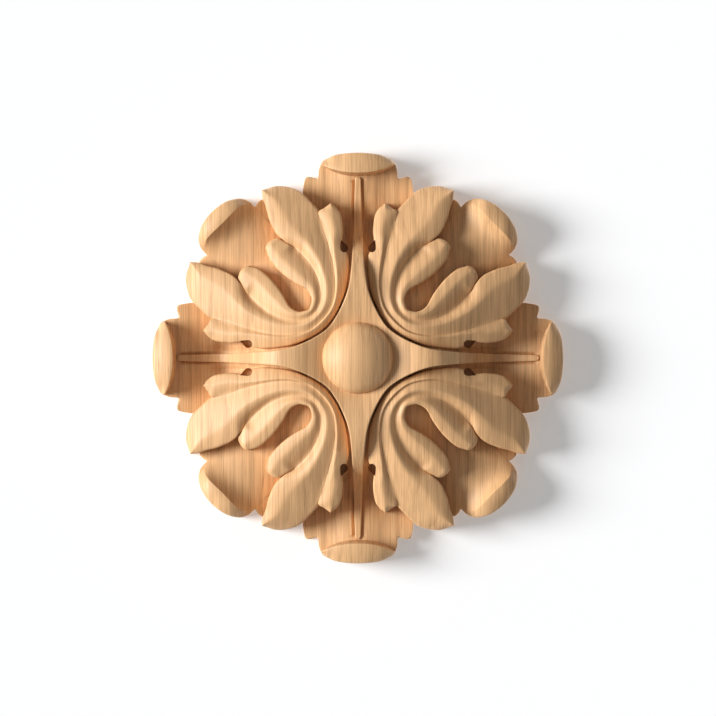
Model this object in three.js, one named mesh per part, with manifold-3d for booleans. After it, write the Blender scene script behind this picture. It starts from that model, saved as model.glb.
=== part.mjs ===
// Carved wooden rosette: a round boss on a four-armed star, a lipped petal behind each arm,
// and in each corner a leaf of three nested lobes round an open eyelet. It is one piece of
// wood, carved from the front and flat behind. Sizes are millimetres. The back lies on the
// wall plane y = 0 with the origin at its centre, the carving faces -Y, and +Z is up.

import * as THREE from 'three'
import { mergeVertices } from 'three/addons/utils/BufferGeometryUtils.js'
import Module from 'manifold-3d'

const wasm = await Module()
wasm.setup()

// Driving sizes. Heights are measured from the flat back.
const rosetteRadius = 60 // centre to the outer rim of an arm's petal
const starHeight = 23.8 // the flat of the star round the boss
const starDish = 1.5 // how far the star sinks towards the foot of the boss
const bossRadius = 10.4
const bossRise = 6 // top of the boss above its foot
const bossSunk = 0.3 // how far the foot of the boss is let into the star
const grooveDepth = 2.5 // the cut between the star and the leaves
const armProud = 0.8 // how far an arm stands above its petal near the rim
const petalTrough = 8.4
const petalLip = 3.4 // rise from the trough of a petal to the crest of its lip
const petalLipFall = 1.6 // how much lower the crest of the lip is at its ends
const petalArch = 0.6 // how much lower a petal is at its sides than in the middle
const petalFlank = 8.2 // the same near the star, where the sides lie under the leaves
const cornerTrough = 6.7
const cornerLip = 3.7
const cornerLipFall = 0.8
const cornerArch = 0.6
const lipRoll = 2.2 // how far a lip rolls down from its crest to the rim
const edgeRound = 0.8 // rounding of the petals' plain edges
const lobeBelowStar = 2.6 // crest of the lobes at their root below the flat of the star
const lobeFall = 10.4 // fall of the long lobes' crest from root to tip
const sideLobeDrop = 3 // how much lower the side lobes end than the long ones
const fingerDrop = 0.6
const eyeletDepth = 2.6 // floor of the eyelet below the lobes' root
const lobeCrown = 3.4 // crest to edge of a long lobe at its widest
const lobeCrownAtRoot = 0.8
const pocketDepth = 3.9 // the small hole beside each side lobe
const lap = 0.6 // how far neighbouring lobes run into each other
const sawing = 2 // spare wood behind, sawn off flat at the end
const mergeWithin = 0.001 // points closer than this are one

// The carving is drawn in hundredths of the rosette's radius, so it keeps its proportions.
const hundredth = rosetteRadius / 100

// Distances from the centre where the slopes begin and end, and half widths.
const heartRadius = 26 * hundredth
const armFallFrom = 31 * hundredth
const petalOpenFrom = 50 * hundredth
const petalOpenAt = 70 * hundredth
const petalTroughAt = 72 * hundredth
const petalLipAt = 94 * hundredth
const petalHalf = 19.5 * hundredth
const cornerFallFrom = 39 * hundredth
const cornerTroughAt = 82 * hundredth
const cornerLipAt = 93 * hundredth
const cornerHalf = 16.5 * hundredth
const lobeFallFrom = 29 * hundredth
const lobeFallTo = 92 * hundredth
const lobeDropFrom = 40 * hundredth
const lobeDropTo = 75 * hundredth

// Half outline of an arm, x across and y outwards, from the corner of the star to its end.
const armEdge = [
  [14.6, 14.6],
  [11.7, 18.3],
  [8.3, 24.4],
  [4.8, 33.6],
  [3.2, 44.6],
  [2.2, 63.8],
  [1.5, 88.2]
]

// Half rims of an arm's petal and of a corner leaf, and where their rolled lips begin.
const petalRim = [
  [0, 100],
  [9.7, 99.2],
  [14.6, 97.4],
  [17.5, 95.6],
  [19.0, 92],
  [19.5, 87.7],
  [21.8, 87.9],
  [24.2, 88.4],
  [25.9, 87.2],
  [26.9, 81.8]
]
const petalLipEdge = [
  [0, 88.5],
  [9.7, 90.3],
  [14.6, 92.3],
  [17.5, 93.8]
]
const cornerRim = [
  [0, 100.6],
  [7.8, 99.5],
  [13.2, 96.6],
  [15.6, 93.6],
  [16.5, 90.6],
  [16.4, 87.7],
  [18.5, 88.1],
  [21.0, 88.0],
  [22.2, 86.5],
  [22.6, 82]
]
const cornerLipEdge = [
  [0, 93],
  [7.1, 93.2],
  [11.7, 93.0],
  [15.2, 91]
]

// The lobes of a corner leaf, drawn beside the upright arm. Each rib gives x, y of the outer
// edge and x, y of the inner edge, from the root on the diagonal to the tip. A lobe is
// rounded off from a share of its length, and up to other shares its edges are buried in the
// neighbouring lobes.
const longLobe = {
  ribs: [
    [18.1, 18.1, 21.6, 21.6],
    [13.8, 23.4, 19.5, 24.6],
    [11.6, 29.5, 18.2, 29.5],
    [11.1, 37.0, 19.0, 36.8],
    [12.3, 46.3, 22.4, 44.1],
    [14.6, 55.5, 27.8, 50.7],
    [17.3, 63.3, 33.4, 55.2],
    [19.4, 71.1, 39.7, 60.3],
    [23.4, 76.6, 43.6, 67.2],
    [29.7, 81.6, 44.8, 74.3],
    [38.0, 83.7, 46.0, 78.6],
    [47.0, 81.8, 47.0, 81.8]
  ],
  roundFrom: 0.85,
  crownShare: 1,
  crestAcross: 0.65,
  drop: 0,
  outerBuried: 0.6,
  innerBuried: 0.54,
  rows: 17,
  across: 5
}
const sideLobe = {
  ribs: [
    [15.8, 15.8, 18.1, 18.1],
    [11.8, 20.9, 13.8, 23.4],
    [8.9, 26.3, 11.6, 29.5],
    [6.4, 33.1, 11.1, 37.0],
    [4.9, 42.9, 12.3, 46.3],
    [5.0, 49.5, 13.7, 52.6],
    [7.6, 55.5, 15.1, 57.5],
    [7.4, 62.0, 17.1, 63.0],
    [8.9, 69.8, 19.1, 70.2]
  ],
  tip: [14.2, 75.4],
  roundFrom: 0.8,
  crownShare: 0.5,
  crestAcross: 0.45,
  drop: sideLobeDrop,
  outerBuried: 0,
  innerBuried: 0.84,
  rows: 15,
  across: 3
}
const finger = {
  ribs: [
    [21.6, 21.6, 23.8, 23.8],
    [19.5, 24.6, 22.8, 26.1],
    [18.2, 29.5, 22.6, 29.2],
    [19.0, 36.8, 25.1, 33.2],
    [22.4, 44.1, 31.2, 36.7],
    [27.8, 50.7, 37.7, 41.7],
    [33.4, 55.2, 42.9, 47.7],
    [37.6, 57.7, 44.6, 52.6]
  ],
  tip: [42.6, 56.9],
  roundFrom: 0.8,
  crownShare: 0.75,
  crestAcross: 0.6,
  drop: fingerDrop,
  outerBuried: 0.76,
  innerBuried: 0,
  rows: 12,
  across: 4
}
const pocketOutline = [
  [8.4, 57.4],
  [5.2, 54.6],
  [5.2, 52.4],
  [6.8, 51.3],
  [8.6, 52.8],
  [8.4, 57.4]
]

// How finely the rounded faces are divided.
const bossRings = 6
const bossSides = 28
const armRows = 13
const petalColumns = 10
const floorRows = [0, 0.5, 0.68, 0.82, 0.92, 1]
const lipRows = [0.1, 0.55, 1]
const pocketSides = 8

const { clamp, lerp, smoothstep } = THREE.MathUtils
const eased = (from, to, value) => smoothstep(value, from, to)
const steps = (count) => Array.from({ length: count + 1 }, (_, k) => k / count)

// A smooth curve through points of the drawing; 0 is its first point and 1 its last.
function drawnCurve(points) {
  const spline = new THREE.SplineCurve(
    points.map(([x, y]) => new THREE.Vector2(x, y).multiplyScalar(hundredth))
  )
  return (part) => spline.getPoint(part)
}

// How far outwards a line of [across, outwards] points lies at one distance across.
function outwardsAt(line, across) {
  const x = across / hundredth
  let k = 0
  while (k < line.length - 2 && line[k + 1][0] < x) k += 1
  const [x0, y0] = line[k]
  const [x1, y1] = line[k + 1]
  return lerp(y0, y1, (x - x0) / (x1 - x0)) * hundredth
}

// A point of the plan turned by quarter turns about the centre, at its height.
function turned(x, y, height, quarter) {
  if (quarter === 0) return new THREE.Vector3(x, y, height)
  return turned(-y, x, height, quarter - 1)
}

// A solid from corner coordinates and the corner numbers of its triangles.
function solidFrom(corners, triangles) {
  return new wasm.Manifold(new wasm.Mesh({
    numProp: 3,
    vertProperties: new Float32Array(corners),
    triVerts: new Uint32Array(triangles)
  }))
}

// The solid inside a closed geometry.
function solidOf(geometry) {
  geometry.deleteAttribute('normal')
  geometry.deleteAttribute('uv')
  const merged = mergeVertices(geometry)
  return solidFrom(merged.attributes.position.array, merged.index.array)
}

// The points round the edge of a grid, each once.
function rimOf(grid) {
  const last = grid[0].length - 1
  const rim = [
    ...grid.slice(0, -1).map((row) => row[0]),
    ...grid.at(-1).slice(0, -1),
    ...grid.slice(1).reverse().map((row) => row[last]),
    ...grid[0].slice(1).reverse()
  ]
  return rim.filter((point, k) => point.distanceTo(rim[(k + 1) % rim.length]) > mergeWithin)
}

// The solid below a grid of surface points, down to the spare wood behind. Points that
// fall together, as at the tip of a lobe, become one.
function solidUnder(rows) {
  const clockwise = THREE.ShapeUtils.area(rimOf(rows)) < 0
  const grid = clockwise ? rows.map((row) => [...row].reverse()) : rows
  const corners = []
  const numbers = new Map()
  const numberOf = (x, y, z) => {
    const key = [x, y, z].map((value) => Math.round(value / mergeWithin)).join()
    if (!numbers.has(key)) {
      numbers.set(key, corners.length / 3)
      corners.push(x, y, z)
    }
    return numbers.get(key)
  }
  const triangles = []
  const addTriangle = (a, b, c) => {
    if (a !== b && b !== c && c !== a) triangles.push(a, b, c)
  }
  const addQuad = (a, b, c, d) => {
    addTriangle(a, b, c)
    addTriangle(a, c, d)
  }

  const top = grid.map((row) => row.map(({ x, y, z }) => numberOf(x, y, z)))
  for (let i = 1; i < top.length; i += 1) {
    for (let j = 1; j < top[i].length; j += 1) {
      addQuad(top[i - 1][j - 1], top[i][j - 1], top[i][j], top[i - 1][j])
    }
  }
  const rim = rimOf(grid)
  const upper = rim.map(({ x, y, z }) => numberOf(x, y, z))
  const lower = rim.map(({ x, y }) => numberOf(x, y, -sawing))
  rim.forEach((_, k) => {
    const next = (k + 1) % rim.length
    addQuad(upper[k], lower[k], lower[next], upper[next])
  })
  const outline = rim.map(({ x, y }) => new THREE.Vector2(x, y))
  for (const [a, b, c] of THREE.ShapeUtils.triangulateShape(outline, [])) {
    addTriangle(lower[c], lower[b], lower[a])
  }
  return solidFrom(corners, triangles)
}

// Height of the star: a shallow dish round the boss, a flat ring, then the long fall of the
// arms to the trough of the petals.
function starFace(out) {
  const dish = starDish * (1 - eased(bossRadius, 1.75 * bossRadius, out))
  const fallen = clamp((out - armFallFrom) / (petalTroughAt - armFallFrom), 0, 1) ** 1.35
  return lerp(starHeight, petalTrough, eased(0, 1, fallen)) - dish
}

function petalRise(out) {
  return petalLip * eased(petalTroughAt, petalLipAt, out)
}

// Height of an arm's petal: it follows the arm, below it by the groove, sinks away to the
// sides under the leaves, and rises to the lip in the middle of the rim.
function petalFloor(across, out) {
  const open = eased(petalOpenFrom, petalOpenAt, out)
  const aside = (across / petalHalf) ** 2
  const lipShare = Math.max(0, 1 - aside) ** 1.5
  return starFace(out) - grooveDepth * (1 - open) - lerp(petalFlank, petalArch, open) * aside
    + petalRise(out) * lipShare
}

// Height of a corner leaf: from the eyelet it falls outwards to a trough and rises to a
// sharp lip, and it is slightly arched across.
function cornerFloor(across, out) {
  const eyelet = starHeight - lobeBelowStar - eyeletDepth
  const fallen = clamp((out - cornerFallFrom) / (cornerTroughAt - cornerFallFrom), 0, 1) ** 1.4
  const risen = Math.max(0, (out - cornerTroughAt) / (cornerLipAt - cornerTroughAt)) ** 2
  const aside = (across / cornerHalf) ** 2
  const lipShare = Math.max(0, 1 - aside ** 2)
  return lerp(eyelet, cornerTrough, eased(0, 1, fallen)) - cornerArch * aside
    + cornerLip * risen * lipShare
}

// Height of the crest of the lobes.
function lobeCrest(out, drop) {
  const fallen = Math.max(0, (out - lobeFallFrom) / (lobeFallTo - lobeFallFrom)) ** 1.3
  return starHeight - lobeBelowStar - lobeFall * fallen - drop * eased(lobeDropFrom, lobeDropTo, out)
}

// The boss: the cap of a ball on a round foot.
function boss() {
  const foot = starFace(bossRadius) - bossSunk
  const ballRadius = (bossRadius ** 2 + bossRise ** 2) / (2 * bossRise)
  const spread = Math.asin(bossRadius / ballRadius)
  const cap = steps(bossRings).map((part) => new THREE.Vector2(
    ballRadius * Math.sin(spread * part),
    foot + bossRise - ballRadius * (1 - Math.cos(spread * part))
  ))
  const profile = [...cap, new THREE.Vector2(bossRadius, -sawing), new THREE.Vector2(0, -sawing)]
  return solidOf(new THREE.LatheGeometry(profile.reverse(), bossSides).rotateX(Math.PI / 2))
}

// The wood below the grooves where the arms and the leaves meet.
function heart() {
  const top = starHeight - starDish - grooveDepth
  const disc = new THREE.CylinderGeometry(heartRadius, heartRadius, top + sawing, bossSides)
  return solidOf(disc.rotateX(Math.PI / 2).translate(0, 0, (top - sawing) / 2))
}

// One arm of the star, from the centre to its narrow end on the lip of the petal.
function arm(quarter) {
  const edge = drawnCurve(armEdge)
  const sides = [-1, 0, 1]
  const centre = sides.map(() => turned(0, 0, starFace(0), quarter))
  const rows = steps(armRows).map((part) => {
    const { x: half, y: out } = edge(part)
    const rise = armProud * eased(petalOpenFrom, petalTroughAt, out) + petalRise(out)
    return sides.map((side) => {
      return turned(side * half, out, starFace(Math.hypot(side * half, out)) + rise, quarter)
    })
  })
  return solidUnder([centre, ...rows])
}

// A petal or corner leaf in columns from its hidden inner edge to its rim. The floor runs
// out to the rolled lip, and beside the lip to a plain rounded edge.
function lippedLeaf({ rim, lipEdge, innerEdge, floor, lip, place }) {
  const rimCurve = drawnCurve(rim)
  const lipEnd = lipEdge.at(-1)[0] * hundredth
  const columns = steps(petalColumns).map((part) => {
    const { x: across, y: rimOut } = rimCurve(part)
    const onLip = across <= lipEnd
    const edgeOut = onLip ? outwardsAt(lipEdge, across) : rimOut - edgeRound
    const inner = floorRows.map((row) => {
      const out = lerp(innerEdge(across), edgeOut, row)
      return [across, out, floor(across, out)]
    })
    const outer = lipRows.map((row) => {
      const out = lerp(edgeOut, rimOut, row)
      return [across, out, onLip ? lip(across, row) : floor(across, out) - edgeRound * row ** 2]
    })
    return [...inner, ...outer]
  })
  const mirrored = columns.slice(1).reverse().map((column) => column.map(([x, y, z]) => [-x, y, z]))
  return solidUnder([...mirrored, ...columns].map((column) => column.map(place)))
}

function armPetal(quarter) {
  const crestAt = 0.25
  return lippedLeaf({
    rim: petalRim,
    lipEdge: petalLipEdge,
    innerEdge: (across) => Math.max(15 * hundredth, 2.5 * across - 3.75 * hundredth),
    floor: petalFloor,
    lip: (across, row) => {
      const past = Math.max(0, (row - crestAt) / (1 - crestAt))
      const crest = petalTrough + petalLip - petalLipFall * (across / petalHalf) ** 2
      return crest - lipRoll * past ** 2
    },
    place: ([x, y, z]) => turned(x, y, z, quarter)
  })
}

function cornerLeaf(quarter) {
  return lippedLeaf({
    rim: cornerRim,
    lipEdge: cornerLipEdge,
    innerEdge: (across) => clamp(4.4 * across - 5.5 * hundredth, 31 * hundredth, 62 * hundredth),
    floor: cornerFloor,
    lip: (across, row) => {
      const crest = cornerTrough + cornerLip - cornerLipFall * (across / cornerHalf) ** 2
      return crest - lipRoll * row ** 2
    },
    place: ([x, y, z]) => turned((y - x) * Math.SQRT1_2, (y + x) * Math.SQRT1_2, z, quarter)
  })
}

// How much of the lap an edge has, all of it up to one share of the length and then none.
function lapShare(buried, part) {
  return buried > 0 ? 1 - eased(buried, buried + 0.05, part) : 0
}

// The lobes on both sides of a corner's diagonal, one solid through their common root. Each
// rib is crowned between its edges. Where a lobe has a tip beyond its last rib, its end is
// half an ellipse from that rib to the tip.
function lobePair(lobe, quarter) {
  const outer = drawnCurve(lobe.ribs.map((rib) => rib.slice(0, 2)))
  const inner = drawnCurve(lobe.ribs.map((rib) => rib.slice(2)))
  const half = steps(lobe.rows).map((along) => {
    const ended = clamp((along - lobe.roundFrom) / (1 - lobe.roundFrom), 0, 1)
    const turn = lobe.tip ? ended * Math.PI / 2 : Math.asin(ended)
    const part = lobe.tip ? Math.min(1, along / lobe.roundFrom) : along
    const a = outer(part)
    const b = inner(part)
    if (lobe.tip) {
      const tip = new THREE.Vector2(...lobe.tip).multiplyScalar(hundredth)
      const centre = a.clone().add(b).multiplyScalar(0.5).lerp(tip, Math.sin(turn))
      const reach = a.clone().sub(b).multiplyScalar(0.5 * Math.cos(turn))
      a.copy(centre).add(reach)
      b.copy(centre).sub(reach)
    }
    const lapped = lap / Math.max(a.distanceTo(b), lap)
    const from = -lapped * lapShare(lobe.outerBuried, part)
    const to = 1 + lapped * lapShare(lobe.innerBuried, part)
    const crest = lobeCrest(a.clone().lerp(b, lobe.crestAcross).length(), lobe.drop)
    const crown = lobe.crownShare * lerp(lobeCrownAtRoot, lobeCrown, eased(0.15, 0.75, part))
    return steps(lobe.across).map((step) => {
      const at = lerp(from, to, step)
      const beside = at < lobe.crestAcross ? lobe.crestAcross : 1 - lobe.crestAcross
      const aside = (at - lobe.crestAcross) / beside
      const { x, y } = a.clone().lerp(b, at)
      return [x, y, crest - crown * (1 - Math.cos(turn) * (1 - aside ** 2))]
    })
  })
  const mirrored = half.slice(1).reverse().map((row) => row.map(([x, y, z]) => [y, x, z]))
  return solidUnder([...mirrored, ...half].map((row) => {
    return row.map(([x, y, z]) => turned(x, y, z, quarter))
  }))
}

// The small hole between a side lobe and the arm.
function pocket(quarter, side) {
  const curve = drawnCurve(pocketOutline)
  const outline = steps(pocketSides).map((part) => {
    const { x, y } = curve(part)
    const point = turned(side * x, y, 0, quarter)
    return new THREE.Vector2(point.x, point.y)
  })
  const { x, y } = curve(0.5)
  const hole = new THREE.ExtrudeGeometry(new THREE.Shape(outline), {
    depth: starHeight,
    bevelEnabled: false
  })
  return solidOf(hole.translate(0, 0, petalFloor(x, y) - pocketDepth))
}

const quarters = [0, 1, 2, 3]
const carved = quarters.flatMap((quarter) => [
  arm(quarter),
  armPetal(quarter),
  cornerLeaf(quarter),
  lobePair(longLobe, quarter),
  lobePair(sideLobe, quarter),
  lobePair(finger, quarter)
])
const pockets = quarters.flatMap((quarter) => [pocket(quarter, -1), pocket(quarter, 1)])
const spare = new THREE.BoxGeometry(3 * rosetteRadius, 3 * rosetteRadius, 2 * sawing)
const cuts = [...pockets, solidOf(spare.translate(0, 0, -sawing))]
const block = wasm.Manifold.union([boss(), heart(), ...carved])
const { vertProperties, triVerts } = block.subtract(wasm.Manifold.union(cuts)).getMesh()

const geometry = new THREE.BufferGeometry()
geometry.setAttribute('position', new THREE.BufferAttribute(vertProperties, 3))
geometry.setIndex(new THREE.BufferAttribute(triVerts, 1))
geometry.computeVertexNormals()

const wood = new THREE.MeshStandardMaterial({ color: 0xd2a274, roughness: 0.6, metalness: 0 })
const rosette = new THREE.Mesh(geometry, wood)
rosette.name = 'rosette'
rosette.rotation.x = Math.PI / 2

const group = new THREE.Group()
group.add(rosette)

export default group
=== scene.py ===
import math

import bpy
import numpy as np
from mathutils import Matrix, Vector


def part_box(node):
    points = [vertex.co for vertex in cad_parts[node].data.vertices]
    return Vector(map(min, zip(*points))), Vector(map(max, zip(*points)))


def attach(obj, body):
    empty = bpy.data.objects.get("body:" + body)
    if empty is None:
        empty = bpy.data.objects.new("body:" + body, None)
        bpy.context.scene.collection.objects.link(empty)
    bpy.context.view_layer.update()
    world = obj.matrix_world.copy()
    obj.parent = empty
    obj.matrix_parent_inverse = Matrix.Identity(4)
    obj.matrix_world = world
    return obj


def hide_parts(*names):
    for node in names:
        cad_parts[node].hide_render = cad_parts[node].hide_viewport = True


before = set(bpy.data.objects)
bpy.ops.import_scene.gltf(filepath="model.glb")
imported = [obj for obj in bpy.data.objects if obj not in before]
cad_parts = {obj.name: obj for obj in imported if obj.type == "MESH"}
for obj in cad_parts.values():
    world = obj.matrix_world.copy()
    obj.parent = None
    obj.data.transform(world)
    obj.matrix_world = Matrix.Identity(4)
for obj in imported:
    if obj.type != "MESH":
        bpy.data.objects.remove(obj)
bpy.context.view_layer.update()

# The blank: one flat-backed block of straight-grained hardwood with the grain upright. All
# the carving is cut from its front. Its plan is drawn in hundredths of the radius, as on a
# carver's pattern for any size, and heights are in millimetres above the back.
mm = 0.001
block_low, block_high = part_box("rosette")
radius = block_high.x / mm
boss_top = -block_low.y / mm
boss_proud, sawing = 4.2, 2.0
star_height = boss_top - boss_proud
drawn = radius / 100

# The star: a thin four-armed ribbon left standing in the middle of the block. It is dished
# round the boss, and its arms run down the petals and end round on their rolled lips.
arm_edge = [(14.6, 14.6), (11.7, 18.3), (8.3, 24.4), (4.8, 33.6), (3.2, 44.6), (2.2, 63.8), (1.5, 86.7)]
boss_radius = 10.4
star_dish, dish_power, dish_reach = 2.1, 1.8, 1.9 * boss_radius
arm_proud, arm_proud_from = 0.8, 50 * drawn
arm_fall_from, petal_trough_at = 31 * drawn, 68 * drawn
arm_fall_power = 1.5
petal_trough, petal_lift, petal_lifted_at = 4.0, 2.1, 90 * drawn
star_rounding = 0.3
arm_steps = 100
same_point = 1e-4


def curve(points, part, mirror=None):
    """A smooth curve through drawn points, in millimetres; part runs from 0 at the first to 1
    at the last. Between two points it is the cubic whose slope at each is half the step from
    the point before to the point after. With a mirror, the mirrored second point comes
    before the first, so that the curve is smooth where it meets its mirror image."""
    points = np.asarray(points, float)
    before_first = 2 * points[0] - points[1] if mirror is None else np.array(mirror(*points[1]))
    points = np.vstack([before_first, points, 2 * points[-1] - points[-2]])
    place = np.clip(part, 0, 1) * (len(points) - 3)
    k = np.minimum(place.astype(int), len(points) - 4)
    t = (place - k)[..., None]
    before, start, end, after = points[k], points[k + 1], points[k + 2], points[k + 3]
    bends = (t**3 - 2 * t**2 + t) * (end - before) / 2 + (t**3 - t**2) * (after - start) / 2
    return (start + (3 * t**2 - 2 * t**3) * (end - start) + bends) * drawn


def eased(start, stop, value):
    """0 up to start and 1 from stop; in between, 3 s squared less 2 s cubed."""
    s = np.clip((value - start) / (stop - start), 0, 1)
    return s * s * (3 - 2 * s)


def mixed(low, high, share):
    """Low where the share is 0, high where it is 1."""
    return low + (high - low) * share


def steps(count, crowding=0.0):
    """Numbers from 0 to 1, evenly spaced, or crowded towards both ends."""
    s = np.linspace(0, 1, count + 1)
    return s + crowding * (3 * s**2 - 2 * s**3 - s)


def rounded(edge):
    """How far a rounded edge has fallen: a quarter circle, for edge from 0 to 1."""
    return 1 - np.sqrt(1 - np.clip(edge, 0, 1) ** 2)


def closed_below(surface):
    """The closed mesh between a grid of (x, y, height) points and a flat behind the back:
    the grid's cells, the same cells turned over below, and a wall between the two rims."""
    rows, columns = surface.shape[:2]
    count = rows * columns
    top = np.arange(count).reshape(rows, columns)
    a, b, c, d = top[:-1, :-1], top[1:, :-1], top[1:, 1:], top[:-1, 1:]
    upper = np.stack([a, b, c, a, c, d], -1).reshape(-1, 3)
    rim = np.concatenate([top[:-1, 0], top[-1, :-1], top[:0:-1, -1], top[0, :0:-1]])
    after = np.roll(rim, -1)
    wall = np.stack([rim, rim + count, after + count, rim, after + count, after], -1).reshape(-1, 3)
    triangles = np.vstack([upper, upper[:, ::-1] + count, wall])
    points = surface.reshape(-1, 3)
    x, y = points[rim, 0], points[rim, 1]
    if np.sum(x * np.roll(y, -1) - y * np.roll(x, -1)) < 0:
        triangles = triangles[:, ::-1]
    under = np.column_stack([points[:, :2], np.full(count, -sawing)])
    return np.vstack([points, under]), triangles


def piece(name, surfaces, quarters=(0, 1, 2, 3)):
    """A mesh object of the closed solids below some surfaces, each repeated at quarter turns.
    Points that fall together are made one, and triangles that collapse are left out. In the
    scene x stays, the height comes forward and y is up."""
    points, triangles, count = [], [], 0
    for surface in surfaces:
        corners, faces = closed_below(surface)
        for quarter in range(4):
            if quarter in quarters:
                points.append(corners)
                triangles.append(faces + count)
                count += len(corners)
            corners = np.column_stack([-corners[:, 1], corners[:, 0], corners[:, 2]])
    points, triangles = np.vstack(points), np.vstack(triangles)
    _, kept, same = np.unique(np.round(points / same_point), axis=0, return_index=True, return_inverse=True)
    triangles = same.reshape(-1)[triangles]
    triangles = triangles[(triangles != np.roll(triangles, 1, axis=1)).all(axis=1)]
    x, y, height = points[kept].T
    mesh = bpy.data.meshes.new(name)
    mesh.from_pydata((np.column_stack([x, -height, y]) * mm).tolist(), [], triangles.tolist())
    made = bpy.data.objects.new(name, mesh)
    bpy.context.scene.collection.objects.link(made)
    return made


def star_face(out):
    """Height of the star: a shallow dish round the boss, a flat ring, then an eased fall of
    the arms to the trough of the petals."""
    rim = np.clip((dish_reach - out) / (dish_reach - boss_radius), 0, 1)
    dish = star_dish * rim**dish_power
    fallen = np.clip((out - arm_fall_from) / (petal_trough_at - arm_fall_from), 0, 1) ** arm_fall_power
    return mixed(star_height, petal_trough, eased(0, 1, fallen)) - dish


def petal_rise(out):
    """How far a petal, and the arm on it, turns up again towards the rim."""
    return petal_lift * eased(petal_trough_at, petal_lifted_at, out)


def star_height_at(x, y, to_edge):
    """The star's face, with a quarter circle at its edges, given the way to the nearest edge."""
    proud = arm_proud * eased(arm_proud_from, petal_trough_at, np.abs(y))
    face = star_face(np.hypot(x, y)) + proud + petal_rise(np.abs(y))
    return face - star_rounding * rounded(1 - to_edge / star_rounding)


half, out = curve(arm_edge, steps(arm_steps), mirror=lambda x, y: (y, x)).T
turn = np.linspace(0, np.pi / 2, 9)[1:]
tip_out = out[-1] + half[-1] * np.sin(turn)
tip_half = half[-1] * np.cos(turn)
half, out = np.concatenate([half, tip_half]), np.concatenate([out, tip_out])
across_arm = np.array([0, 0.2, 0.4, 0.6, 0.75, 0.86, 0.93, 0.97, 0.99, 1])
across_arm = np.concatenate([-across_arm[:0:-1], across_arm])
x, y = half[:, None] * across_arm, out[:, None] + 0 * across_arm
arm = np.stack([x, y, star_height_at(x, y, half[:, None] - np.abs(x))], -1)
arms = piece("arms", [arm])
across_middle = np.concatenate([[-1, -0.985, -0.96], np.linspace(-0.92, 0.92, 29), [0.96, 0.985, 1]])
x, y = np.meshgrid(half[0] * across_middle, half[0] * across_middle)
to_corner = (2 * half[0] - np.abs(x) - np.abs(y)) * math.sqrt(0.5)
star = piece("star", [np.stack([x, y, star_height_at(x, y, to_corner)], -1)], quarters=[0])

# The boss: a round button left standing on the star and turned smooth. It is the cap of a
# ball, and over the last 22 hundredths of its radius it falls as a quarter circle.
boss_rise, boss_edge = 4.5, 1.6
boss_edge_share, boss_edge_from = 0.22, 3.545
ball = (boss_radius**2 + boss_rise**2) / (2 * boss_rise)


def disc(reach, count):
    """A square grid bent into a disc: u times the root of 1 less half of v squared, and the
    same for v."""
    u, v = np.meshgrid(np.linspace(-1, 1, count), np.linspace(-1, 1, count))
    return reach * u * np.sqrt(1 - v**2 / 2), reach * v * np.sqrt(1 - u**2 / 2)


x, y = disc(boss_radius, 49)
reach = np.hypot(x, y)
edge_fall = boss_edge * rounded(reach / boss_radius / boss_edge_share - boss_edge_from)
cap_height = boss_top - ball + np.sqrt(ball**2 - reach**2) - edge_fall
boss = piece("boss", [np.stack([x, y, cap_height], -1)], quarters=[0])

# The ground of the carving: the bottom of the deep narrow cut that frees the star from the
# leaves, left as a round table of wood between them.
groove_depth, ground_reach = 4.0, 26 * drawn
x, y = disc(ground_reach, 17)
ground_height = star_height - star_dish - groove_depth + 0 * x
ground = piece("ground", [np.stack([x, y, ground_height], -1)], quarters=[0])

# The petals behind the arms: each falls away from the star beside its arm, turns up at the
# rim, and ends in a curled lip like half a lens, with a small pointed leaf at each side.
petal_rim = [
    (0, 100), (9.7, 99.2), (14.6, 97.4), (17.5, 95.6), (19.0, 92), (19.5, 87.7), (21.8, 87.9),
    (24.2, 88.4), (25.9, 87.2), (26.9, 81.8),
]
petal_lip_edge = [(0, 88.6), (4.4, 88.8), (8.8, 89.6), (13.2, 91.2), (16.2, 92.9), (17.5, 94.0)]
petal_side, petal_side_lift = 25 * drawn, 0.5
petal_opening = (52 * drawn, 72 * drawn)
petal_flank, petal_arch = 6.0, 0.5
petal_cove, cove_width = 0.2, 9 * drawn
quirk_width, quirk_depth, quirk_end = 0.8, 1.2, (86 * drawn, 88 * drawn)
gutter_side, gutter_depth = 8 * drawn, 1.3
gutter_start, gutter_end = (44 * drawn, 54 * drawn), (64 * drawn, 77 * drawn)
notch_width, notch_depth, notch_end = 1.8 * drawn, 2.2, (48 * drawn, 56 * drawn)
lens_half, lens_rise, lens_steep = 17.5 * drawn, 6.4, 0.15
lens_dome, dome_power = 2.7, 2.2
lens_roll, roll_power = 2.3, 1.9
edge_rounding = 0.5
hidden_start, hidden_slope, hidden_back = 15 * drawn, 2.5, 3.75 * drawn
near_count, far_count, lip_count = 10, 34, 20
crowding_to_lip, lip_crowding = 1.4, 0.6


def along(line, across):
    """How far outwards a drawn line lies at each distance across, in millimetres."""
    x, y = (np.array(line, float) * drawn).T
    return np.interp(across, x, y)


def arm_half_at(y):
    """Half width of an arm at a distance outwards."""
    return np.interp(y, out[:arm_steps], half[:arm_steps])


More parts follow.
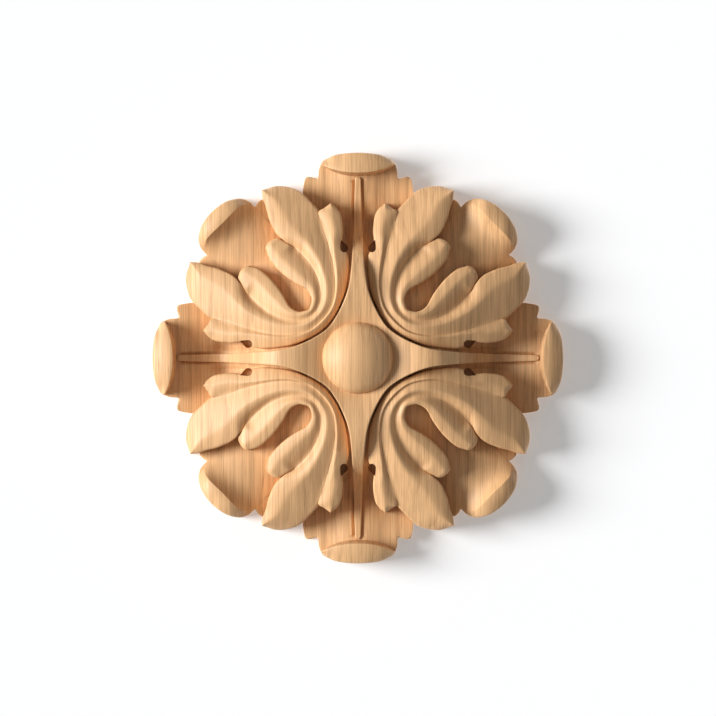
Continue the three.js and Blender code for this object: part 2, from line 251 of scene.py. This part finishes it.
def petal_floor(x, y):
    """Height of a petal: it follows the arm below by the groove, sinks at its sides under the
    leaves, and is a little hollow beside the arm and a little domed towards the lip. Beside
    the arm run a notch near the root, a wider gutter and, up to the lip, a fine line."""
    opened = eased(*petal_opening, y)
    aside = np.sin(np.pi / 2 * np.clip(x / petal_side, 0, 1)) ** 2
    fall = groove_depth * (1 - opened) + mixed(petal_flank, petal_arch, opened) * aside
    cove = petal_cove * np.sin(np.pi * np.clip(x / cove_width, 0, 2)) * opened
    floor = star_face(y) - fall + petal_rise(y) * (1 - petal_side_lift * aside) + cove
    from_arm = x - arm_half_at(y)
    across_gutter = np.clip(from_arm / (gutter_side - arm_half_at(y)), 0, 1)
    gutter = eased(*gutter_start, y) * (1 - eased(*gutter_end, y))
    gutter = gutter_depth * gutter * np.sin(np.pi * across_gutter) ** 2
    across_notch = np.clip(from_arm / notch_width, 0, 1)
    notch = notch_depth * (1 - np.abs(2 * across_notch - 1)) * (1 - eased(*notch_end, y))
    beside = np.clip(1 - from_arm / quirk_width, 0, 1) * (1 - eased(*quirk_end, y))
    return floor - gutter - notch - quirk_depth * opened * beside**2


def petal_lens(x, rows, start):
    """Height of the lens: from the floor at its edge a steep rise, then a dome that falls to
    both ends and rolls over outwards, each as a power of the way."""
    aside = np.clip(x / lens_half, 0, 1)
    rolled = np.clip((rows - lens_steep) / (1 - lens_steep), 0, 1)
    top = start[0] + lens_rise - lens_dome * aside**dome_power - lens_roll * rolled**roll_power
    return mixed(start, top, np.sin(np.pi / 2 * np.clip(rows / lens_steep, 0, 1)))


def lipped(rim, lip_edge, floor, lens, inner, near_out, bend, columns):
    """One half of a lipped leaf, in columns from its hidden inner edge to its rim. The floor
    runs past near_out to the lip's edge, and the lens rises from there. All outer edges end in a
    quarter circle."""
    rim_x, rim_out = curve(rim, columns, mirror=lambda x, y: (-x, y)).T
    rim_x[0] = 0
    lip_end = lip_edge[-1][0] * drawn
    on_lip = rim_x <= lip_end
    lip_out = np.where(on_lip, along(lip_edge, rim_x), rim_out - edge_rounding)[:, None]
    rim_x, rim_out = rim_x[:, None], rim_out[:, None]
    near_rows = steps(near_count)[None, :-1]
    far_rows = (1 - (1 - steps(far_count)) ** crowding_to_lip)[None, :]
    inner_out = inner(rim_x)
    y = np.concatenate([mixed(inner_out, near_out, near_rows), mixed(near_out, lip_out, far_rows)], 1)
    x = bend(rim_x, y)
    floor_grid = np.stack([x, y, floor(x, y)], -1)
    rows = steps(lip_count, lip_crowding)[None, 1:]
    y = mixed(lip_out, rim_out, rows)
    x = bend(rim_x, y)
    deep = rim_out - lip_out
    start = floor(bend(rim_x, lip_out), lip_out)
    height = np.where(on_lip[:, None], lens(x, rows, start), floor(x, y))
    edge = 1 - (1 - rows) * deep / np.minimum(edge_rounding, deep)
    lip_grid = np.stack([x, y, height - edge_rounding * rounded(edge)], -1)
    return np.concatenate([floor_grid, lip_grid], 1)


def beside_arm(x, y):
    """Columns near an arm lean to follow its edge; at the outer side they stand straight."""
    last = half[arm_steps - 1]
    side = 26.9 * drawn
    wide = arm_half_at(y)
    return np.where(x < last, wide * x / last, wide + (x - last) * (side - wide) / (side - last))


def both_sides(surface):
    """A half surface together with its mirror image."""
    return np.concatenate([surface[:0:-1] * [-1, 1, 1], surface])


petal = both_sides(
    lipped(
        petal_rim,
        petal_lip_edge,
        floor=petal_floor,
        lens=petal_lens,
        inner=lambda x: np.maximum(hidden_start, hidden_slope * x - hidden_back),
        near_out=64 * drawn,
        bend=beside_arm,
        columns=np.concatenate([[0, 0.004, 0.008], 0.0105 + 0.9895 * steps(46) ** 1.2]),
    )
)
petals = piece("petals", [petal])

# The corner leaves: a shell in each corner that runs from the eyelet down between the lobes,
# hollows out, and turns up to a sharp lip with a rolled back.
corner_rim = [
    (0, 100.6), (7.8, 99.5), (13.2, 96.6), (15.6, 93.6), (16.5, 90.6), (16.4, 87.7), (18.5, 88.1),
    (21.0, 88.0), (22.2, 86.5), (22.6, 82),
]
corner_lip_edge = [(0, 93), (7.1, 93.2), (11.7, 93.0), (15.2, 91)]
corner_half, corner_lip_half = 16.5 * drawn, 15.2 * drawn
corner_trough, corner_lip, corner_arch, corner_roll = 9.2, 3.4, 2.4, 1.6
corner_fall_from, corner_fall_over = 36 * drawn, 32 * drawn
corner_rise_from, corner_rise_over, corner_rise_power = 81 * drawn, 12 * drawn, 2.8
corner_start, corner_side_start, corner_step = 31 * drawn, 62 * drawn, (7 * drawn, 9 * drawn)
lobe_root = star_height - 1.8
eyelet_depth = 5.5


def corner_lens(x, rows, start):
    """Height of a corner's lip outside its sharp crest: a roll down as the square of the way."""
    return start - corner_roll * rows**2 * (1 - np.clip(x / corner_lip_half, 0, 1) ** 4)


def corner_floor(x, y):
    """Height of a corner leaf: an eased fall from the eyelet to the trough, counted by the
    fourth root of x and y to the fourth so that its level lines turn round the corner, then
    a rise to the lip as a power of the way."""
    way = (y**4 + 6 * x**2 * y**2 + x**4) ** 0.25
    fallen = (way - corner_fall_from) / corner_fall_over
    risen = np.clip((y - corner_rise_from) / corner_rise_over, 0, None) ** corner_rise_power
    aside = (x / corner_half) ** 2
    lip_share = np.clip(1 - aside**2, 0, 1)
    fall = mixed(lobe_root - eyelet_depth, corner_trough, eased(0, 1, fallen))
    return fall - corner_arch * aside + corner_lip * risen * lip_share


corner = both_sides(
    lipped(
        corner_rim,
        corner_lip_edge,
        floor=corner_floor,
        lens=corner_lens,
        inner=lambda x: mixed(corner_start, corner_side_start, eased(*corner_step, x)),
        near_out=corner_side_start,
        bend=lambda x, y: x + 0 * y,
        columns=steps(36),
    )
)
x, y, height = np.moveaxis(corner, -1, 0)
corner = np.stack([(y - x) * math.sqrt(0.5), (y + x) * math.sqrt(0.5), height], -1)
corners = piece("corners", [corner])

# The lobes: three nested pairs in each corner, which part on the diagonal, wrap round the
# eyelet and run out on both sides of it. Neighbours meet in soft valleys near the root, and
# further out each lobe has a rounded edge of its own over the petals.
lobe_fall, lobe_fall_power = 10.5, 1.3
lobe_fall_from, lobe_fall_over = 29 * drawn, 63 * drawn
side_drop, finger_drop, drop_way = 1.7, 0.2, (30 * drawn, 80 * drawn)
side_valley_depths, side_valley_way = (0.6, 2.9), (30 * drawn, 84 * drawn)
finger_valley_depths, finger_valley_way = (0.7, 2.6), (28 * drawn, 68 * drawn)
valley_hollow, lap, lap_slope = 0.8, 0.5, 2
crest_change, depth_change = (0.45, 0.7), (0.2, 0.7)
parting_before, parting_after = 0.04, 0.06
crowding_along, crowding_across = 0.35, 0.5
least_width = 1e-3


def lobe_crest(out, drop):
    """Height of a lobe's crest: the fall from the root grows as a power of the way."""
    fallen = np.clip((out - lobe_fall_from) / lobe_fall_over, 0, None) ** lobe_fall_power
    return lobe_root - lobe_fall * fallen - drop * eased(*drop_way, out)


def side_valley(out):
    """Height of the valley between a side lobe and the long lobe."""
    return lobe_crest(out, 0) - mixed(*side_valley_depths, eased(*side_valley_way, out))


def finger_valley(out):
    """Height of the valley between the long lobe and the finger."""
    return lobe_crest(out, 0) - mixed(*finger_valley_depths, eased(*finger_valley_way, out))


def lobe(ribs, tip, round_from, crest_across, drop, outer, inner, tip_fall, rows, columns):
    """A lobe and its mirror image beyond the diagonal. Its edges run through the ribs. From a
    crest between them it falls to each edge as a power of the way. A shared edge ends
    in a rounded valley, and a free one in a quarter circle; the tip falls as an ellipse."""
    ribs = np.array(ribs, float)
    way = steps(rows, crowding_along)
    ended = np.clip((way - round_from) / (1 - round_from), 0, 1)
    if tip is None:
        part, turn = way, np.arcsin(ended)
    else:
        part, turn = np.minimum(1, way / round_from), ended * np.pi / 2
    a = curve(ribs[:, :2], part, mirror=lambda x, y: (y, x))
    b = curve(ribs[:, 2:], part, mirror=lambda x, y: (y, x))
    if tip is not None:
        centre = mixed((a + b) / 2, np.array(tip) * drawn, np.sin(turn)[:, None])
        reach = (a - b) / 2 * np.cos(turn)[:, None]
        a, b = centre + reach, centre - reach
    width = np.linalg.norm(a - b, axis=1)[:, None]
    crest_at = mixed(*crest_across, eased(*crest_change, part))[:, None]
    crest = lobe_crest(np.linalg.norm(a + (b - a) * crest_at, axis=1), drop)[:, None]
    round_end = np.cos(turn)[:, None]

    def flank(edge, joined_until, valley, depths, power, reach_share, away):
        """The fall on one side of the crest, for away from 0 at the crest to 1 at the edge,
        and how far the surface runs on below its neighbour, as a share of the width."""
        free_depth = mixed(*depths, eased(*depth_change, part))[:, None]
        joined, shared = 0 * part[:, None], free_depth
        if valley is not None:
            parted = eased(joined_until - parting_before, joined_until + parting_after, part)
            joined = (1 - parted)[:, None]
            shared = crest - valley(np.linalg.norm(edge, axis=1))[:, None]
        reach = np.maximum(width * reach_share, least_width)
        hollow = np.minimum(valley_hollow, reach / 2)
        to_edge = np.maximum((1 - away) * reach, 0)
        way_down = np.clip(away, 0, 1) ** power
        near = np.clip(hollow - to_edge, 0, hollow)
        bend = power / 2 * hollow / reach
        hollowed = (way_down - power / 2 * near**2 / (hollow * reach)) / (1 - bend)
        joined_fall = shared * hollowed + lap_slope * np.clip(away - 1, 0, None) * reach
        free_fall = free_depth * way_down + edge_rounding * rounded(1 - to_edge / edge_rounding)
        free_fall = mixed(tip_fall, free_fall, round_end)
        return mixed(free_fall, joined_fall, joined), joined * np.minimum(lap / reach, 1) * reach_share

    _, outer_lap = flank(a, *outer, crest_at, 0 * width)
    _, inner_lap = flank(b, *inner, 1 - crest_at, 0 * width)
    at = mixed(-outer_lap, 1 + inner_lap, steps(columns, crowding_across)[None, :])
    outer_fall, _ = flank(a, *outer, crest_at, (crest_at - at) / crest_at)
    inner_fall, _ = flank(b, *inner, 1 - crest_at, (at - crest_at) / (1 - crest_at))
    height = crest - np.where(at < crest_at, outer_fall, inner_fall)
    plan = mixed(a[:, None, :], b[:, None, :], at[..., None])
    surface = np.concatenate([plan, height[..., None]], -1)
    return np.concatenate([surface[:0:-1, :, [1, 0, 2]], surface])


long_lobe = lobe(
    ribs=[
        (18.1, 18.1, 21.6, 21.6), (13.8, 23.4, 19.5, 24.6), (11.6, 29.5, 18.2, 29.5),
        (11.1, 37.0, 19.0, 36.8), (12.3, 46.3, 22.4, 44.1), (14.6, 55.5, 27.8, 50.7),
        (17.3, 63.3, 33.4, 55.2), (19.4, 71.1, 39.7, 60.3), (23.4, 76.6, 43.2, 67.2),
        (29.7, 81.9, 44.9, 73.4), (38.8, 83.8, 46.3, 77.4), (46.8, 81.7, 46.8, 81.7),
    ],
    tip=None,
    round_from=0.9,
    crest_across=(0.54, 0.66),
    drop=0,
    outer=(0.65, side_valley, (2.2, 2.9), 1.15),
    inner=(0.54, finger_valley, (1.5, 0.8), 1.9),
    tip_fall=0.7,
    rows=98,
    columns=26,
)
side_lobe = lobe(
    ribs=[
        (15.5, 15.5, 18.1, 18.1), (11.5, 20.7, 13.8, 23.4), (8.6, 26.1, 11.6, 29.5),
        (6.1, 33.0, 11.1, 37.0), (4.7, 42.9, 12.3, 46.3), (4.9, 49.5, 13.7, 52.6),
        (7.6, 55.5, 15.1, 57.5), (7.3, 62.0, 17.1, 63.0), (8.2, 69.2, 19.1, 70.7),
        (10.4, 73.0, 16.4, 73.0), (13.4, 75.3, 13.4, 75.3),
    ],
    tip=None,
    round_from=0.9,
    crest_across=(0.8, 0.44),
    drop=side_drop,
    outer=(0, None, (1.2, 0.8), 1.4),
    inner=(0.77, side_valley, (1.0, 1.0), 1.4),
    tip_fall=1.0,
    rows=82,
    columns=18,
)
finger = lobe(
    ribs=[
        (21.6, 21.6, 23.8, 23.8), (19.5, 24.6, 22.8, 26.1), (18.2, 29.5, 22.6, 29.2),
        (19.0, 36.8, 25.1, 33.2), (22.4, 44.1, 31.2, 36.7), (27.8, 50.7, 37.7, 41.7),
        (33.4, 55.2, 42.9, 47.7), (37.6, 57.7, 44.6, 52.6),
    ],
    tip=(42.6, 56.9),
    round_from=0.84,
    crest_across=(0.6, 0.6),
    drop=finger_drop,
    outer=(0.8, finger_valley, (1.2, 1.2), 1.4),
    inner=(0, None, (0.2, 0.75), 1.6),
    tip_fall=1.3,
    rows=70,
    columns=20,
)
long_lobes = piece("long_lobes", [long_lobe])
side_lobes = piece("side_lobes", [side_lobe])
fingers = piece("fingers", [finger])

# The small eyes: a hole with a pointed top beside each side lobe, cut in with a gouge where
# the lobe lifts from the groove.
eye_outline = [(8.4, 57.4), (5.2, 54.6), (5.2, 52.4), (6.8, 51.3), (8.6, 52.8), (8.4, 57.4)]
eye_floor = 6.0


def eye(side):
    """The wood that comes out of one eye, as a closed mesh standing on the eye's floor."""
    x, y = curve(eye_outline, steps(24)[:-1]).T
    x = x * side
    ring = np.column_stack([x, y])[:: int(side)]
    count = len(ring)
    low, high = np.full(count, eye_floor), np.full(count, boss_top)
    points = np.vstack([np.column_stack([ring, low]), np.column_stack([ring, high])])
    points = np.vstack([points, [*ring.mean(0), eye_floor], [*ring.mean(0), boss_top]])
    here = np.arange(count)
    after = np.roll(here, -1)
    sides = np.concatenate([
        np.column_stack([here, after, after + count]),
        np.column_stack([here, after + count, here + count]),
        np.column_stack([after, here, np.full(count, 2 * count)]),
        np.column_stack([here + count, after + count, np.full(count, 2 * count + 1)]),
    ])
    return points, sides


points, triangles = [], []
for side in (1, -1):
    corners_of_eye, faces = eye(side)
    for quarter in range(4):
        triangles.append(faces + sum(map(len, points)))
        points.append(corners_of_eye)
        x, y, height = corners_of_eye.T
        corners_of_eye = np.column_stack([-y, x, height])
x, y, height = np.vstack(points).T
eye_mesh = bpy.data.meshes.new("eyes")
eye_mesh.from_pydata((np.column_stack([x, -height, y]) * mm).tolist(), [], np.vstack(triangles).tolist())
eyes = bpy.data.objects.new("eyes", eye_mesh)
bpy.context.scene.collection.objects.link(eyes)

# The spare wood behind: the block is thicker than the carving until it is sawn off flat,
# which leaves the back that is glued to the wall.
bpy.ops.mesh.primitive_cube_add(size=1, location=(0, sawing * mm, 0))
saw_cut = bpy.context.object
saw_cut.scale = (3 * radius * mm, 2 * sawing * mm, 3 * radius * mm)
bpy.ops.object.transform_apply(location=True, scale=True)

# The carving as one piece of wood: the forms above joined into one closed surface, with the
# eyes and the spare wood cut from it. Ridges sharper than the angle keep a crisp shade.
sharp_angle = math.radians(38)
carving = long_lobes
carving.name = carving.data.name = "carving"
for part, how in (
    *((solid, "UNION") for solid in (side_lobes, fingers, corners, petals, ground, arms, star, boss)),
    (eyes, "DIFFERENCE"),
    (saw_cut, "DIFFERENCE"),
):
    cut = carving.modifiers.new(part.name, "BOOLEAN")
    cut.object, cut.operation, cut.solver = part, how, "MANIFOLD"
    bpy.context.view_layer.update()
    evaluated = carving.evaluated_get(bpy.context.evaluated_depsgraph_get())
    joined = bpy.data.meshes.new_from_object(evaluated)
    carving.modifiers.clear()
    carving.data = joined
    bpy.data.objects.remove(part)
carving.data.shade_smooth()
carving.data.set_sharp_from_angle(angle=sharp_angle)

# The wood: pale straight-grained hardwood, sanded and left bare. The growth rings stand nearly
# upright and show as soft bands with a thin darker late edge, over fine upright fibres with
# short open pores. The light wood is a little redder in the bands.
wood = bpy.data.materials.new("wood")
wood.use_nodes = True
pale, amber, umber = (0.785, 0.467, 0.225, 1), (0.435, 0.235, 0.102, 1), (0.24, 0.105, 0.04, 1)
ring_width, ring_tilt = 3.1 * mm, 0.22
wander_width, waver_width = 7.5 * mm, 0.9 * mm
late_start, late_end = (0.25, 0.96), (0.965, 1.0)
fibre_width, fibre_depth, fibre_length = 0.24 * mm, 7 * mm, 16 * mm
pore_apart, pore_length = 0.8 * mm, 9.0 * mm
pore_edge, pore_patch = (0.10, 0.24), (0.35, 0.6)
late_share, fibre_share, broad_share, pore_share = 0.5, 2.2, 0.55, 0.28
noise_middle = 0.42
smooth_wood, fibre_rough, pore_rough = 0.46, 0.16, 0.1
fibre_relief = 0.5


class Socket:
    """An output of a shader node. Arithmetic with it adds Math nodes to its material."""

    def __init__(self, socket):
        self.socket = socket

    def node(self, kind, settings, values, output=0):
        """A new node in the same material, wrapped: its type, its settings, the values or
        links of its inputs by place or name, and which of its outputs is meant."""
        tree = self.socket.id_data
        made = tree.nodes.new("ShaderNode" + kind)
        for name, setting in settings.items():
            setattr(made, name, setting)
        for name, value in values.items():
            if isinstance(value, Socket):
                tree.links.new(value.socket, made.inputs[name])
            else:
                made.inputs[name].default_value = value
        return Socket(made.outputs[output])

    def math(self, operation, *values):
        return self.node("Math", {"operation": operation}, dict(enumerate(values)))

    def __add__(self, other):
        return self.math("ADD", self, other)

    def __sub__(self, other):
        return self.math("SUBTRACT", self, other)

    def __rsub__(self, other):
        return self.math("SUBTRACT", other, self)

    def __mul__(self, other):
        return self.math("MULTIPLY", self, other)

    __radd__ = __add__
    __rmul__ = __mul__

    def between(self, low, high):
        """0 at low and 1 at high, smooth at both ends."""
        settings = {"interpolation_type": "SMOOTHSTEP"}
        return self.node("MapRange", settings, {"Value": self, "From Min": low, "From Max": high})

    def mix(self, low, high):
        """A colour: low where this is 0 and high where it is 1."""
        values = {"Factor": self, 6: low, 7: high}
        return self.node("Mix", {"data_type": "RGBA"}, values, output=2)

    def stretched(self, across, deep, along):
        """Object coordinates counted in steps of a width across the grain, a depth into the
        board and a length along the grain."""
        scale = (1 / across, 1 / deep, 1 / along)
        return self.node("Mapping", {}, {"Vector": self, "Scale": scale})

    def noise(self, detail=2.0, roughness=0.5):
        values = {"Vector": self, "Scale": 1.0, "Detail": detail, "Roughness": roughness}
        return self.node("TexNoise", {}, values)


coordinates = wood.node_tree.nodes.new("ShaderNodeTexCoord")
shader = wood.node_tree.nodes["Principled BSDF"]
here = Socket(coordinates.outputs["Object"])
axes = here.node("SeparateXYZ", {}, {"Vector": here})
x_here, depth_here = axes, Socket(axes.socket.node.outputs["Y"])
wander = here.stretched(9 * mm, 9 * mm, 70 * mm).noise(detail=2.0)
waver = here.stretched(3 * mm, 5 * mm, 14 * mm).noise(detail=1.0)
across_rings = x_here + ring_tilt * depth_here + wander_width * wander + waver_width * waver
phase = across_rings * (1 / ring_width)
ring = phase.math("FRACT", phase)
late = ring.between(*late_start) * (1 - ring.between(*late_end))
uneven = here.stretched(6 * mm, 6 * mm, 90 * mm).noise(detail=1.0)
fibre = here.stretched(fibre_width, fibre_depth, fibre_length).noise(detail=3.0, roughness=0.6)
broad = here.stretched(18 * mm, 18 * mm, 60 * mm).noise(detail=2.0)
pore_place = here.stretched(pore_apart, fibre_depth, pore_length)
pores = here.node("TexVoronoi", {"feature": "F1"}, {"Vector": pore_place, "Scale": 1.0})
pore = (1 - pores.between(*pore_edge)) * uneven.between(*pore_patch)
tone = late_share * late * uneven + fibre_share * (fibre - noise_middle)
tone = tone + broad_share * (broad - noise_middle)
colour = tone.mix(pale, amber)
colour = (pore_share * pore).mix(colour, umber)
relief = fibre * fibre_relief - pore
bump = here.node("Bump", {}, {"Height": relief, "Distance": 0.05 * mm, "Strength": 0.5})
rough = smooth_wood + fibre_rough * fibre + pore_rough * pore
wood.node_tree.links.new(colour.socket, shader.inputs["Base Color"])
wood.node_tree.links.new(rough.socket, shader.inputs["Roughness"])
wood.node_tree.links.new(bump.socket, shader.inputs["Normal"])
carving.data.materials.clear()
carving.data.materials.append(wood)
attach(carving, "root")
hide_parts("rosette")

# The wall: a plain white board that the rosette lies against, with a weak glow for the light
# that a bright room sends into its shadows. From behind it can't be seen and lets light
# through, so that the flat back shows in views from there.
wall_mesh = bpy.data.meshes.new("wall")
wall_half, wall_behind = 4.0, 0.4 * mm
wall_mesh.from_pydata(
    [(s * wall_half, wall_behind, t * wall_half) for s, t in ((-1, -1), (1, -1), (1, 1), (-1, 1))],
    [],
    [(0, 1, 2, 3)],
)
wall = bpy.data.objects.new("wall", wall_mesh)
bpy.context.scene.collection.objects.link(wall)
board = bpy.data.materials.new("board")
board.use_nodes = True
board_shader = board.node_tree.nodes["Principled BSDF"]
board_shader.inputs["Base Color"].default_value = (0.745, 0.75, 0.76, 1)
board_shader.inputs["Emission Color"].default_value = (1, 1, 1, 1)
board_shader.inputs["Emission Strength"].default_value = 0.235
board_shader.inputs["Roughness"].default_value = 0.9
board_shader.inputs["Specular IOR Level"].default_value = 0.0
facing = Socket(board.node_tree.nodes.new("ShaderNodeNewGeometry").outputs["Backfacing"])
through = facing.node("LightPath", {}, {}, output="Is Shadow Ray")
clear = facing.node("BsdfTransparent", {}, {})
behind_it = facing.math("MAXIMUM", facing, through)
seen = facing.node("MixShader", {}, {0: behind_it, 1: Socket(board_shader.outputs[0]), 2: clear})
board.node_tree.links.new(seen.socket, board.node_tree.nodes["Material Output"].inputs["Surface"])
wall_mesh.materials.append(board)

# The light: one broad soft lamp low at the left and a little above, a weak even light from
# the room, and a dim lamp behind that only reaches the back.
scene = bpy.context.scene
for name, towards, strength, spread in (
    ("window", (-0.863, -0.5, 0.075), 4.75, 28),
    ("behind", (0.35, 0.85, 0.4), 1.6, 60),
):
    lamp = bpy.data.objects.new(name, bpy.data.lights.new(name, "SUN"))
    lamp.data.energy = strength
    lamp.data.angle = math.radians(spread)
    lamp.rotation_euler = Vector(towards).to_track_quat("Z", "Y").to_euler()
    scene.collection.objects.link(lamp)
room = bpy.data.worlds.new("room")
room.use_nodes = True
room.node_tree.nodes["Background"].inputs["Color"].default_value = (1, 1, 1, 1)
room.node_tree.nodes["Background"].inputs["Strength"].default_value = 0.26
scene.world = room
scene.view_settings.view_transform = "Standard"

# The camera: a long lens straight in front, so that the middle of the carving's depth fills
# the same part of the frame as in the photograph.
camera = bpy.data.objects.new("camera", bpy.data.cameras.new("camera"))
camera_away, frame_width, middle_depth = 3.0, 0.20925, 8 * mm
camera.data.lens = camera.data.sensor_width * (camera_away - middle_depth) / frame_width
camera.location = (0, -camera_away, 0)
camera.rotation_euler = (math.pi / 2, 0, 0)
scene.collection.objects.link(camera)
scene.camera = camera
